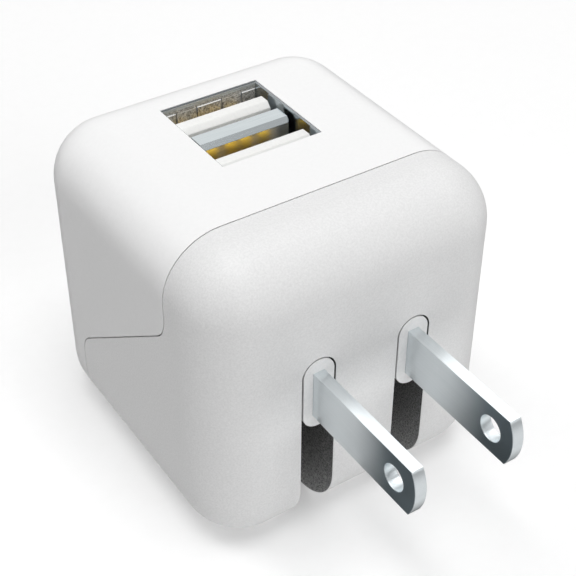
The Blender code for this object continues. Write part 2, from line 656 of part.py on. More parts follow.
def build_usb_contacts(look):
    """Four gold-plated strips on the rear face of each tongue."""
    first = None
    for port, port_name in enumerate(("front", "rear")):
        y = TONGUE_FRONT_Y + port * PORT_PITCH + TONGUE_THICKNESS + SHELL_CLEARANCE
        for number, x in enumerate(PIN_PLACES, 1):
            name = f"usb_contact_{port_name}_{number}"
            place = Vector((x, y, SHELL_LOW_Z))
            if first is None:
                low = place - Vector((PIN_WIDTH / 2, 0, 0))
                high = Vector((x + PIN_WIDTH / 2, y + PIN_THICKNESS, TONGUE_TOP_Z - PIN_RECESS))
                first = piece(name, box(low, high), look, place)
            else:
                copy_piece(name, first, place)


def copy_piece(name, source, place):
    """Second object on the same mesh."""
    made = bpy.data.objects.new(name, source.data)
    made.location = place
    bpy.context.scene.collection.objects.link(made)
    return made


def build_boards(look):
    """Receptacle's board, lying flat, and the main board, standing behind it."""
    low = (-USB_BOARD_HALF, WINDOW_FRONT_Y - USB_BOARD_OVERHANG, USB_BOARD_LOW_Z)
    piece("usb_board", box(low, (USB_BOARD_HALF, MAIN_BOARD_FRONT_Y - GAP, USB_BOARD_TOP_Z)), look)
    form = box((-MAIN_BOARD_HALF, MAIN_BOARD_FRONT_Y, MAIN_BOARD_LOW_Z),
               (MAIN_BOARD_HALF, MAIN_BOARD_REAR_Y, MAIN_BOARD_TOP_Z))
    corners = [edge for edge in form.edges if abs(edge.verts[0].co.y - edge.verts[1].co.y) > MM / 2]
    bmesh.ops.bevel(form, geom=corners, offset=MAIN_BOARD_CORNER, segments=2, profile=0.5, affect="EDGES")
    piece("main_board", form, look)


def core_half(name, start, towards, look):
    """E-shaped ferrite half: a back with three legs, its centre leg inside the bobbin."""
    meet = start + towards * (CORE_LENGTH / 2 - SHELL_CLEARANCE)
    back = start + towards * CORE_LEG
    wide = CORE_WIDTH / 2
    mid = CORE_CENTRE_LEG / 2
    outline = [(-wide, start), (wide, start), (wide, meet), (wide - CORE_LEG, meet), (wide - CORE_LEG, back),
               (mid, back), (mid, meet), (-mid, meet), (-mid, back), (CORE_LEG - wide, back),
               (CORE_LEG - wide, meet), (-wide, meet)]
    form = prism(outline, "Z", BAY_Z - CORE_HEIGHT / 2, BAY_Z + CORE_HEIGHT / 2)
    return piece(name, form, look)


def build_transformer(ferrite, nylon, tape):
    """Two ferrite halves round a bobbin, with the taped winding on it."""
    rear = PARTS_Y
    front = rear - CORE_LENGTH
    core_half("core_rear", rear, -1, ferrite)
    core_half("core_front", front, 1, ferrite)
    inner_x = CORE_CENTRE_LEG / 2 + GAP
    inner_z = CORE_HEIGHT / 2 + GAP
    low_y = front + CORE_LEG + GAP
    high_y = rear - CORE_LEG - GAP
    outer_x = CORE_WIDTH / 2 - CORE_LEG - GAP
    outer_z = WINDING_HEIGHT / 2 + BOBBIN_WALL

    def tube(half_x, half_z, start, end):
        return box((-half_x, start, BAY_Z - half_z), (half_x, end, BAY_Z + half_z))

    bobbin = piece("bobbin", tube(inner_x + BOBBIN_WALL, inner_z + BOBBIN_WALL, low_y, high_y), nylon)
    join(bobbin, tube(outer_x, outer_z, low_y, low_y + BOBBIN_FLANGE))
    join(bobbin, tube(outer_x, outer_z, high_y - BOBBIN_FLANGE, high_y))
    cut(bobbin, tube(inner_x, inner_z, front, rear))
    coil_low = low_y + BOBBIN_FLANGE + GAP
    coil_high = high_y - BOBBIN_FLANGE - GAP
    form = tube(outer_x - GAP, WINDING_HEIGHT / 2, coil_low, coil_high)
    rounds = [edge for edge in form.edges if abs(edge.verts[0].co.y - edge.verts[1].co.y) > MM / 2]
    bmesh.ops.bevel(form, geom=rounds, offset=CORE_LEG, segments=3, profile=0.5, affect="EDGES")
    winding = piece("winding", form, tape)
    clear_x = inner_x + BOBBIN_WALL + GAP
    cut(winding, tube(clear_x, inner_z + BOBBIN_WALL + GAP, front, rear))
    smooth(winding)


def build_can(name, x, z, radius, length, look):
    """Electrolytic capacitor lying forward from the main board, with its rolled groove."""
    stations = [(radius * size, PARTS_Y - length * share) for size, share in CAN_STATIONS]
    can = piece(name, turned((x, z), "Y", stations), look, (x, PARTS_Y, z))
    smooth(can, 30)
    return can


def build_side_parts(looks):
    """Capacitors in the bay on both sides of the transformer, and the parts beside the receptacle."""
    room = BAY_TOP_Z - BAY_LOW_Z
    input_x = PARTS_X - INPUT_CAP_RADIUS
    output_x = PARTS_X - OUTPUT_CAP_RADIUS
    for number, share in enumerate(CAN_SHARES, 1):
        z = BAY_LOW_Z + share * room
        build_can(f"input_capacitor_{number}", -input_x, z, INPUT_CAP_RADIUS, INPUT_CAP_LENGTH,
                  looks["can"])
        build_can(f"output_capacitor_{number}", output_x, z, OUTPUT_CAP_RADIUS, OUTPUT_CAP_LENGTH,
                  looks["can"])
    choke_x = PARTS_X - CHOKE_RADIUS
    choke = piece("input_choke", prism(disc(CHOKE_RADIUS, (-choke_x, PARTS_Y - CHOKE_RADIUS)), "Z",
                                       FUSE_TOP_Z + GAP, MAIN_BOARD_TOP_Z - GAP), looks["ferrite"])
    smooth(choke)
    fuse_z = FUSE_TOP_Z - FUSE_RADIUS
    fuse_x = PARTS_X - FUSE_RADIUS
    fuse = piece("fuse_resistor", prism(disc(FUSE_RADIUS, (-fuse_x, fuse_z)), "Y",
                                        PARTS_Y - FUSE_LENGTH, PARTS_Y), looks["ceramic"])
    smooth(fuse)
    disc_x = PARTS_X - DISC_THICKNESS / 2
    disc_z = MAIN_BOARD_TOP_Z - DISC_RADIUS - GAP
    disc_form = prism(disc(DISC_RADIUS, (PARTS_Y - DISC_RADIUS, disc_z)), "X",
                      disc_x - DISC_THICKNESS / 2, disc_x + DISC_THICKNESS / 2)
    safety = piece("y_capacitor", disc_form, looks["enamel"])
    smooth(safety)


def build_rear_parts(look):
    """Flat moulded packages on the rear face of the main board."""
    rear = MAIN_BOARD_REAR_Y + GAP
    for name, across, up, width, height in CHIPS:
        x = across * MAIN_BOARD_HALF
        z = MAIN_BOARD_LOW_Z + up * (MAIN_BOARD_TOP_Z - MAIN_BOARD_LOW_Z)
        low = (x - width / 2, rear, z - height / 2)
        form = box(low, (x + width / 2, rear + CHIP_HEIGHT, z + height / 2))
        rims = [edge for edge in form.edges
                if min(edge.verts[0].co.y, edge.verts[1].co.y) > rear + CHIP_HEIGHT / 2]
        bmesh.ops.bevel(form, geom=rims, offset=GAP, segments=1, profile=0.5, affect="EDGES")
        piece(name, form, look, (x, rear, z))


def main():
    for old in list(bpy.data.objects):
        bpy.data.objects.remove(old)
    textured_white = finish("textured_white_plastic", (0.80, 0.80, 0.80), 0.6)
    satin_white = finish("satin_white_plastic", (0.87, 0.87, 0.87), 0.35)
    dark_plastic = finish("dark_plastic", (0.03, 0.03, 0.03), 0.8)
    rotor_white = finish("rotor_white_plastic", (0.78, 0.79, 0.79), 0.5)
    nickel = finish("nickel_plate", (0.62, 0.64, 0.65), 0.2, 1.0)
    steel = finish("spring_steel", (0.55, 0.55, 0.54), 0.3, 1.0)
    tinned = finish("tinned_sheet", (0.45, 0.46, 0.47), 0.3, 1.0)
    gold = finish("gold_plate", (0.95, 0.62, 0.15), 0.2, 1.0)
    brass = finish("brass_strip", (0.70, 0.48, 0.18), 0.3, 1.0)
    insulator = finish("white_insulator", (0.85, 0.85, 0.85), 0.45)
    natural = finish("natural_nylon", (0.55, 0.52, 0.44), 0.5)
    laminate = finish("green_laminate", (0.03, 0.18, 0.06), 0.4)
    ferrite = finish("ferrite", (0.04, 0.04, 0.045), 0.6)
    tape = finish("yellow_tape", (0.80, 0.55, 0.05), 0.4)
    package = finish("black_package", (0.015, 0.015, 0.015), 0.5)
    side_looks = {
        "can": finish("dark_sleeve", (0.02, 0.02, 0.05), 0.4),
        "ferrite": ferrite,
        "ceramic": finish("green_coating", (0.10, 0.25, 0.12), 0.5),
        "enamel": finish("blue_coating", (0.02, 0.15, 0.55), 0.4),
    }
    lead_red = finish("lead_insulation", (0.45, 0.02, 0.02), 0.5)

    pivot = bpy.data.objects.new("blade_pivot", None)
    bpy.context.scene.collection.objects.link(pivot)
    pivot.location = PIVOT

    build_front_shell(textured_white)
    build_rear_shell(satin_white)
    build_blade_cradle(dark_plastic)
    build_rotor(rotor_white, pivot)
    for side, name in ((-1, "left"), (1, "right")):
        build_blade(f"blade_{name}", side * BLADE_X, nickel, pivot)
        build_blade_contact(f"blade_contact_{name}", side * BLADE_X, brass)
        build_supply_lead(f"supply_lead_{name}", side, lead_red)
    build_retainer(natural)
    build_detent_spring(steel)
    build_usb_shell(tinned)
    build_usb_divider(tinned)
    build_usb_insulator(insulator)
    build_usb_contacts(gold)
    build_boards(laminate)
    build_transformer(ferrite, natural, tape)
    build_side_parts(side_looks)
    build_rear_parts(package)


main()
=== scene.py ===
"""USB wall charger with folding blades: the finished surfaces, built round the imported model."""
import json
import math

import bmesh
import bpy
from mathutils import Matrix, Vector


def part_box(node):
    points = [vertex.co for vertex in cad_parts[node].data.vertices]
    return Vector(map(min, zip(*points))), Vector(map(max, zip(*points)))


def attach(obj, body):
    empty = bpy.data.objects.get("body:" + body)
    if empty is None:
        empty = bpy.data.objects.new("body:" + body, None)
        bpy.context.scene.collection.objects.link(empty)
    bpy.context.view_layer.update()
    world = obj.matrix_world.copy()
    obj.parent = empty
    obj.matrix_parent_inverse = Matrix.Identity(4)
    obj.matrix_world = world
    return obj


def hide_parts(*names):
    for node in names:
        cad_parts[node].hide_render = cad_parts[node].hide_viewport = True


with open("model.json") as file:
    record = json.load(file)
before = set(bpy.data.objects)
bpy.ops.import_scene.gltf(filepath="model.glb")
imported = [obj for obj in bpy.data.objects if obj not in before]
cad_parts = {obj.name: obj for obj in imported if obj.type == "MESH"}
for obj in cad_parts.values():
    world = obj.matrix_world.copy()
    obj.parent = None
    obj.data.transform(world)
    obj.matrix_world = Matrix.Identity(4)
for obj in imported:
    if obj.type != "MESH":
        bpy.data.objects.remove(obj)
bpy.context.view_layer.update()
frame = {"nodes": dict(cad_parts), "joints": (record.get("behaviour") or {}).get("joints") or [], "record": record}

# ---- Front casing half -------------------------------------------------------------------
# The front and lower half of the snap-together casing: injection-moulded white polycarbonate
# with a spark-eroded grain. It carries the two blade slots, and a thin lip that reaches under
# the rear half along the seam.
MM = 0.001
front_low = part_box("front_shell")[0]
rear_low, rear_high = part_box("rear_shell")
body_low = Vector((rear_low.x, front_low.y, front_low.z))
body_high = Vector((rear_high.x, rear_high.y, rear_high.z))
body_round = 7.1 * MM
casing_wall = 1.9 * MM
seam_top_y = body_low.y + 9.4 * MM
seam_low_y = body_high.y - 8.7 * MM
seam_high_z = 28.65 * MM
seam_low_z = 12.0 * MM
seam_round = 4.4 * MM
seam_gap = 0.15 * MM
lip_reach = 1.2 * MM
lip_inset = 0.55 * casing_wall
pivot = Vector(frame["joints"][0]["pos_m"])
nose_low, nose_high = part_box("blade_rotor")
left_low, left_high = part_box("blade_left")
right_low, right_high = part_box("blade_right")
blade_places = ((left_low.x + left_high.x) / 2, (right_low.x + right_high.x) / 2)
running_gap = 0.2 * MM          # room round the rotor for it to turn
slot_half = 2.22 * MM
slot_top = nose_high.z + running_gap
slot_skin = 0.06 * MM           # the white edge that covers the liner's rim
liner_wall = 0.6 * MM
liner_rear = pivot.y + 7.87 * MM
grain_front = 0.22 * MM         # spark-erosion grain, drawn coarse enough to show
outer_segments = 20             # fine rounds where the casing shows
lip_segments = 12
hidden_segments = 6
skin_tolerance = 0.02 * MM      # how far the outer skin's points may stray from its rounds
skin_facing = 0.95              # how squarely a face of the outer skin looks outwards


def from_srgb(code):
    """Linear colour from an sRGB hex code."""
    parts = [int(code[place:place + 2], 16) / 255 for place in (1, 3, 5)]
    return [part / 12.92 if part <= 0.04045 else ((part + 0.055) / 1.055) ** 2.4 for part in parts] + [1.0]


def add(tree, kind, sockets=None, **settings):
    """One shader or geometry node with its settings, input values and links."""
    made = tree.nodes.new(kind)
    for key, value in settings.items():
        setattr(made, key, value)
    for key, value in (sockets or {}).items():
        if isinstance(value, bpy.types.NodeSocket):
            tree.links.new(value, made.inputs[key])
        else:
            made.inputs[key].default_value = value
    return made


def fade(tree, place, axis, start, end, **settings):
    """Factor that runs from 0 to 1 between two places along an axis."""
    parts = add(tree, "ShaderNodeSeparateXYZ", {"Vector": place})
    run = add(tree, "ShaderNodeMapRange", {"Value": parts.outputs[axis], "From Min": start, "From Max": end},
              **settings)
    return run.outputs["Result"]


def new_material(name):
    """Empty node tree with its output, and the object's own coordinates."""
    made = bpy.data.materials.new(name)
    made.use_nodes = True
    tree = made.node_tree
    tree.nodes.clear()
    output = tree.nodes.new("ShaderNodeOutputMaterial")
    place = tree.nodes.new("ShaderNodeTexCoord").outputs["Object"]
    return made, tree, output, place


def two_tone(tree, factor, dark, light, start=0.0, end=1.0):
    """Colour socket that runs from one sRGB tone to another."""
    ramp = add(tree, "ShaderNodeValToRGB", {"Fac": factor})
    for element, tone, place in zip(ramp.color_ramp.elements, (dark, light), (start, end)):
        element.color = from_srgb(tone)
        element.position = place
    return ramp.outputs["Color"]


def moulded_white(name, dark, light, roughness, grain, depth):
    """White injection-moulded plastic: an even body colour, a fine mould grain that breaks the
    light up, and a roughness that wanders a little over the surface."""
    made, tree, output, place = new_material(name)
    fine = add(tree, "ShaderNodeTexNoise", {"Vector": place, "Scale": 1 / grain, "Detail": 3.0,
                                            "Roughness": 0.6})
    broad = add(tree, "ShaderNodeTexNoise", {"Vector": place, "Scale": 1 / (9 * MM), "Detail": 2.0})
    rough = add(tree, "ShaderNodeMapRange", {"Value": broad.outputs["Fac"], "To Min": roughness - 0.04,
                                             "To Max": roughness + 0.04})
    bump = add(tree, "ShaderNodeBump", {"Height": fine.outputs["Fac"], "Strength": 1.0, "Distance": depth})
    shader = add(tree, "ShaderNodeBsdfPrincipled", {
        "Base Color": two_tone(tree, fine.outputs["Fac"], dark, light, 0.25, 0.75),
        "Roughness": rough.outputs["Result"], "Normal": bump.outputs["Normal"], "IOR": 1.5})
    tree.links.new(shader.outputs["BSDF"], output.inputs["Surface"])
    return made


def box(low, high):
    """Box between two corners."""
    form = bmesh.new()
    bmesh.ops.create_cube(form, size=1.0)
    size = Vector(high) - Vector(low)
    centre = (Vector(high) + Vector(low)) / 2
    placing = Matrix.Translation(centre) @ Matrix.Diagonal((*size, 1))
    bmesh.ops.transform(form, matrix=placing, verts=form.verts)
    return form


def body_form(inset, segments):
    """The casing's rounded outer form, or a smaller one inside it."""
    margin = Vector((inset, inset, inset))
    form = box(body_low + margin, body_high - margin)
    bmesh.ops.bevel(form, geom=form.edges[:], offset=body_round - inset, segments=segments, profile=0.5,
                    affect="EDGES")
    return form


def prism(outline, axis, low, high):
    """Closed outline carried along axis X (y, z), Y (x, z) or Z (x, y)."""
    places = {"X": lambda u, v, w: (w, u, v), "Y": lambda u, v, w: (u, w, v), "Z": lambda u, v, w: (u, v, w)}
    form = bmesh.new()
    base = form.faces.new([form.verts.new(places[axis](u, v, low)) for u, v in outline])
    grown = bmesh.ops.extrude_face_region(form, geom=[base])
    raised = [item for item in grown["geom"] if isinstance(item, bmesh.types.BMVert)]
    bmesh.ops.translate(form, verts=raised, vec=Vector(places[axis](0, 0, high - low)))
    bmesh.ops.recalc_face_normals(form, faces=form.faces[:])
    return form


def arc(centre, radius, start, end, step=4.0):
    """Points along an arc, from start to end in degrees."""
    count = max(2, round(abs(end - start) / step))
    turns = [math.radians(start + (end - start) * place / count) for place in range(count + 1)]
    return [(centre[0] + radius * math.cos(turn), centre[1] + radius * math.sin(turn)) for turn in turns]


def rounded_path(points, radii):
    """Open path whose inner corners are rounded to the radii given for them."""
    path = [tuple(points[0])]
    for before, corner, after, radius in zip(points, points[1:], points[2:], radii):
        corner = Vector(corner)
        inward = (Vector(before) - corner).normalized()
        outward = (Vector(after) - corner).normalized()
        half = inward.angle(outward) / 2
        centre = corner + (inward + outward).normalized() * radius / math.sin(half)
        start = corner + inward * radius / math.tan(half) - centre
        end = corner + outward * radius / math.tan(half) - centre
        turn = math.degrees(math.atan2(start.x * end.y - start.y * end.x, start.dot(end)))
        first = math.degrees(math.atan2(start.y, start.x))
        path += arc(centre, radius, first, first + turn)
    return path + [tuple(points[-1])]


def shown(name, form):
    """Object at the origin from a form in world coordinates."""
    mesh = bpy.data.meshes.new(name)
    form.to_mesh(mesh)
    form.free()
    made = bpy.data.objects.new(name, mesh)
    bpy.context.scene.collection.objects.link(made)
    return made


def apply_modifiers(target):
    """Bake the target's modifiers into its mesh."""
    bpy.context.view_layer.update()
    shaped = target.evaluated_get(bpy.context.evaluated_depsgraph_get())
    mesh = bpy.data.meshes.new_from_object(shaped)
    target.modifiers.clear()
    target.data = mesh
    mesh.name = target.name


def combine(target, form, operation):
    """One exact Boolean, applied."""
    tool = shown("tool", form)
    modifier = target.modifiers.new(operation, "BOOLEAN")
    modifier.operation = operation
    modifier.solver = "EXACT"
    modifier.object = tool
    apply_modifiers(target)
    bpy.data.objects.remove(tool)


def form_of(temporary):
    """The form of a temporary object, which is removed."""
    form = bmesh.new()
    form.from_mesh(temporary.data)
    bpy.data.objects.remove(temporary)
    return form


def smooth(target, angle=35):
    """Round faces shaded smooth, true edges kept sharp."""
    target.data.shade_smooth()
    target.data.set_sharp_from_angle(angle=math.radians(angle))


def dress(target, look, body, slot, *nodes):
    """Material, body and the CAD nodes that a piece stands for; the record slot is not used."""
    target.data.materials.clear()
    target.data.materials.append(look)
    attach(target, body)
    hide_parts(*nodes)


def true_body_normals(target):
    """Exact normals on the casing's outer skin, so its rounds shade without facets."""
    mesh = target.data
    margin = Vector((body_round, body_round, body_round))
    low, high = body_low + margin, body_high - margin
    normals = [Vector(corner.vector) for corner in mesh.corner_normals]
    for face in mesh.polygons:
        for corner in face.loop_indices:
            point = mesh.vertices[mesh.loops[corner].vertex_index].co
            core = Vector(max(low[axis], min(high[axis], point[axis])) for axis in range(3))
            away = point - core
            outer = abs(away.length - body_round) < skin_tolerance
            if outer and face.normal.dot(away.normalized()) > skin_facing:
                normals[corner] = away.normalized()
    mesh.normals_split_custom_set(normals)


def seam_line(offset):
    """The seam from top to bottom as (y, z), moved by offset towards the rear half."""
    lean = Vector((seam_low_y - seam_top_y, seam_low_z - seam_high_z)).normalized()
    start = Vector((seam_top_y, seam_high_z)) + Vector((-lean.y, lean.x)) * offset
    upper = start + lean * (seam_top_y + offset - start.x) / lean.x
    lower = start + lean * (seam_low_y + offset - start.x) / lean.x
    points = [(seam_top_y + offset, 2 * body_high.z), upper, lower, (seam_low_y + offset, -body_high.z)]
    return rounded_path(points, (seam_round - offset, seam_round + offset))


def seam_side(offset, outer_y):
    """Everything between the seam and a plane beyond the body."""
    outline = seam_line(offset) + [(outer_y, -body_high.z), (outer_y, 2 * body_high.z)]
    return prism(outline, "X", 2 * body_low.x, 2 * body_high.x)


def seam_band(start, end):
    """The stretch between two copies of the seam."""
    return prism(seam_line(start) + seam_line(end)[::-1], "X", 2 * body_low.x, 2 * body_high.x)


def slot_outline(x, half, top, low):
    """Blade slot with its round top, as (x, z)."""
    return arc((x, top - half), half, 180, 0) + [(x + half, low), (x - half, low)]


front_casing = shown("front_casing", body_form(0, outer_segments))
combine(front_casing, body_form(casing_wall, hidden_segments), "DIFFERENCE")
combine(front_casing, seam_side(0, 2 * body_low.y), "INTERSECT")
lip = shown("lip", body_form(lip_inset, lip_segments))
combine(lip, body_form(casing_wall, hidden_segments), "DIFFERENCE")
combine(lip, seam_band(-lip_reach / 2, lip_reach), "INTERSECT")
combine(front_casing, form_of(lip), "UNION")
for slot_x in blade_places:
    opening = slot_outline(slot_x, slot_half, slot_top, 2 * body_low.z - casing_wall)
    combine(front_casing, prism(opening, "Y", 2 * body_low.y, liner_rear), "DIFFERENCE")
    seat_outline = slot_outline(slot_x, slot_half + liner_wall, slot_top + liner_wall, -casing_wall)
    seat = shown("seat", prism(seat_outline, "Y", 2 * body_low.y, liner_rear + seam_gap))
    combine(seat, body_form(slot_skin, outer_segments), "INTERSECT")
    combine(front_casing, form_of(seat), "DIFFERENCE")
smooth(front_casing)
true_body_normals(front_casing)
grained_white = moulded_white("grained_white_polycarbonate", "#dadada", "#e8e8e8", 0.55, grain_front,
                              0.02 * MM)
dress(front_casing, grained_white, "casing", "textured_white", "front_shell")

# ---- Rear casing half --------------------------------------------------------------------
# The top, rear and side half of the casing, from the same white polycarbonate but from a mould
# polished to a satin. The receptacle looks out of the sharp-edged window in its top.
shell_low, shell_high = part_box("usb_shell")
window_gap = 0.03 * MM
rebate_inset = 0.45 * casing_wall
window_low = Vector((shell_low.x - window_gap, shell_low.y - window_gap, 0))
window_high = Vector((shell_high.x + window_gap, shell_high.y + window_gap, 0))
grain_rear = 0.5 * MM           # flow marks left by a polished mould

rear_casing = shown("rear_casing", body_form(0, outer_segments))
combine(rear_casing, body_form(casing_wall, hidden_segments), "DIFFERENCE")
combine(rear_casing, seam_side(seam_gap, 2 * body_high.y), "INTERSECT")
rebate = shown("rebate", body_form(rebate_inset, lip_segments))
combine(rebate, seam_band(-lip_reach, lip_reach + 2 * seam_gap), "INTERSECT")
combine(rear_casing, form_of(rebate), "DIFFERENCE")
window = box((window_low.x, window_low.y, body_high.z - 2 * casing_wall),
             (window_high.x, window_high.y, body_high.z + casing_wall))
combine(rear_casing, window, "DIFFERENCE")
smooth(rear_casing)
true_body_normals(rear_casing)
satin_white = moulded_white("satin_white_polycarbonate", "#ececec", "#efefef", 0.38, grain_rear, 0.003 * MM)
dress(rear_casing, satin_white, "casing", "satin_white", "rear_shell")

# ---- Slot liner --------------------------------------------------------------------------
# One moulding in dark glass-filled nylon lines both blade slots and carries the rotor's
# bearings. It is dropped in from behind, so its grained walls come up to the slots' white edge.
liner_gap = 0.3 * MM            # clearance to the casing's inner faces
liner_rim = 0.02 * MM           # clearance under the white edge
journal = (nose_high.z - nose_low.z) / 6 + running_gap
shaft_reach = nose_high.x + running_gap
bearing_wall = 1.6 * MM
web_height = 11.0 * MM
swing = 7.27 * MM               # room the rotor's nose needs to fold

inner_face = body_low.y + casing_wall + liner_gap
web_x = blade_places[1] - slot_half
liner = shown("slot_liner", box((-web_x, inner_face, casing_wall + liner_gap),
                                (web_x, inner_face + bearing_wall, casing_wall + web_height)))
for side, slot_x in zip((-1, 1), blade_places):
    ends = sorted((slot_x + side * slot_half, side * (shaft_reach + bearing_wall)))
    block = box((ends[0], inner_face, pivot.z - journal - bearing_wall),
                (ends[1], liner_rear, pivot.z + journal + bearing_wall))
    combine(liner, block, "UNION")
combine(liner, body_form(casing_wall + liner_gap, hidden_segments), "INTERSECT")
for slot_x in blade_places:
    column_outline = slot_outline(slot_x, slot_half + liner_wall - liner_rim,
                                  slot_top + liner_wall - liner_rim, -casing_wall)
    column = shown("column", prism(column_outline, "Y", 2 * body_low.y, liner_rear))
    combine(column, body_form(slot_skin + liner_rim, outer_segments), "INTERSECT")
    combine(liner, form_of(column), "UNION")
for slot_x in blade_places:
    pocket = slot_outline(slot_x, slot_half, slot_top, -2 * casing_wall)
    combine(liner, prism(pocket, "Y", 2 * body_low.y, liner_rear - liner_wall), "DIFFERENCE")
    loading = slot_outline(slot_x, slot_half, slot_top, pivot.z - swing)
    combine(liner, prism(loading, "Y", pivot.y, liner_rear + casing_wall), "DIFFERENCE")
notch = arc((pivot.y, pivot.z), journal, 90, 270) + [(liner_rear + casing_wall, pivot.z - journal),
                                                     (liner_rear + casing_wall, pivot.z + journal)]
combine(liner, prism(notch, "X", -shaft_reach, shaft_reach), "DIFFERENCE")
smooth(liner)


def grained_dark_nylon():
    """Glass-filled nylon from an eroded mould: nearly black, matt, with pale specks where the
    grain catches the light. Its walls are painted darker near the top of the slots, painted shade,
    and paler towards the bottom."""
    made, tree, output, place = new_material("grained_dark_nylon")
    grain = add(tree, "ShaderNodeTexNoise", {"Vector": place, "Scale": 1 / (0.2 * MM), "Detail": 4.0,
                                             "Roughness": 0.7})
    upper = two_tone(tree, grain.outputs["Fac"], "#1a1a1a", "#6c6c6c", 0.35, 0.72)
    lower = two_tone(tree, grain.outputs["Fac"], "#525252", "#d6d6d6", 0.35, 0.72)
    # Painted shade: the colour runs from the darker upper tones near the top of the slots to the paler lower
    # tones.
    painted_shade_fade = fade(tree, place, "Z", nose_low.z, 0.0)
    grain_with_painted_shade = add(tree, "ShaderNodeMix", {"Factor": painted_shade_fade, 6: upper, 7: lower}, data_type="RGBA").outputs[2]
    bump = add(tree, "ShaderNodeBump", {"Height": grain.outputs["Fac"], "Strength": 1.0,
                                        "Distance": 0.03 * MM})
    shader = add(tree, "ShaderNodeBsdfPrincipled", {
        "Base Color": grain_with_painted_shade, "Roughness": 0.75, "Normal": bump.outputs["Normal"], "IOR": 1.53})
    tree.links.new(shader.outputs["BSDF"], output.inputs["Surface"])
    return made


dress(liner, grained_dark_nylon(), "casing", "dark_plastic", "blade_cradle")

# ---- Blade rotor -------------------------------------------------------------------------
# White glass-filled nylon moulded round both blades: a shaft with two noses that fill the tops
# of the slots and turn with the blades. Its edges are softly rounded by the tool.
nose_width = 3.95 * MM
shaft_radius = journal - running_gap
hub = nose_high.z - pivot.z
nose_edge = 0.12 * MM
blade_half = (left_high.x - left_low.x) / 2
blade_z = (left_low.z + left_high.z) / 2
blade_half_height = (left_high.z - left_low.z) / 2
tip_round = 6.0 * MM
root_fit = 0.015 * MM


def ring(centre, radius):
    """Points all round a circle, one every five degrees."""
    return arc(centre, radius, 0, 355, 5.0)


def break_edges(target, width, segments, angle):
    """Every edge sharper than an angle in degrees, rounded."""
    rounding = target.modifiers.new("edges", "BEVEL")
    rounding.width = width
    rounding.segments = segments
    rounding.angle_limit = math.radians(angle)
    apply_modifiers(target)


def blade_side(growth, tail):
    """One blade from the side, as (y, z)."""
    spread = math.degrees(math.asin(blade_half_height / tip_round))
    half = blade_half_height + growth
    tip = arc((left_low.y + tip_round, blade_z), tip_round + growth, 180 + spread, 180 - spread, 3.0)
    return tip + [(tail, blade_z + half), (tail, blade_z - half)]


rotor = shown("rotor_moulding", prism(ring((pivot.y, pivot.z), shaft_radius), "X", nose_low.x, nose_high.x))
for slot_x in blade_places:
    profile = ([(body_low.y, nose_high.z)] + arc((pivot.y, pivot.z), hub, 90, -50)
               + [(pivot.y - hub / 3, nose_low.z), (body_low.y, nose_low.z)])
    nose = shown("nose", prism(profile, "X", slot_x - nose_width, slot_x + nose_width))
    half = nose_width / 2
    section = (arc((slot_x, nose_high.z - half), half, 180, 0)
               + arc((slot_x, nose_low.z + half), half, 0, -180))
    combine(nose, prism(section, "Y", 2 * body_low.y, 0), "INTERSECT")
    break_edges(nose, nose_edge, 3, 50)
    combine(rotor, form_of(nose), "UNION")
for slot_x in blade_places:
    reach = blade_half + root_fit
    root = blade_side(root_fit, pivot.y + shaft_radius)
    combine(rotor, prism(root, "X", slot_x - reach, slot_x + reach), "DIFFERENCE")
smooth(rotor, 30)
soft_white = moulded_white("soft_white_nylon", "#e2e3e3", "#ececec", 0.5, 0.3 * MM, 0.012 * MM)
dress(rotor, soft_white, "blades", "rotor_white", "blade_rotor")

# ---- Blades ------------------------------------------------------------------------------
# Two flat contact blades stamped from brass strip, nickel plated, with an arc tip, a punched
# hole and edges just broken. They are moulded into the rotor by their tails.
hole_reach = 14.35 * MM
hole_radius = 1.58 * MM
blade_edge = 0.07 * MM
# Painted reflection: from here on, the blades' side faces are painted darker towards the tip.
painted_dark_from = body_low.y - 7.2 * MM
painted_dark_over = 7 * MM              # from bright to fully painted dark, a painted reflection


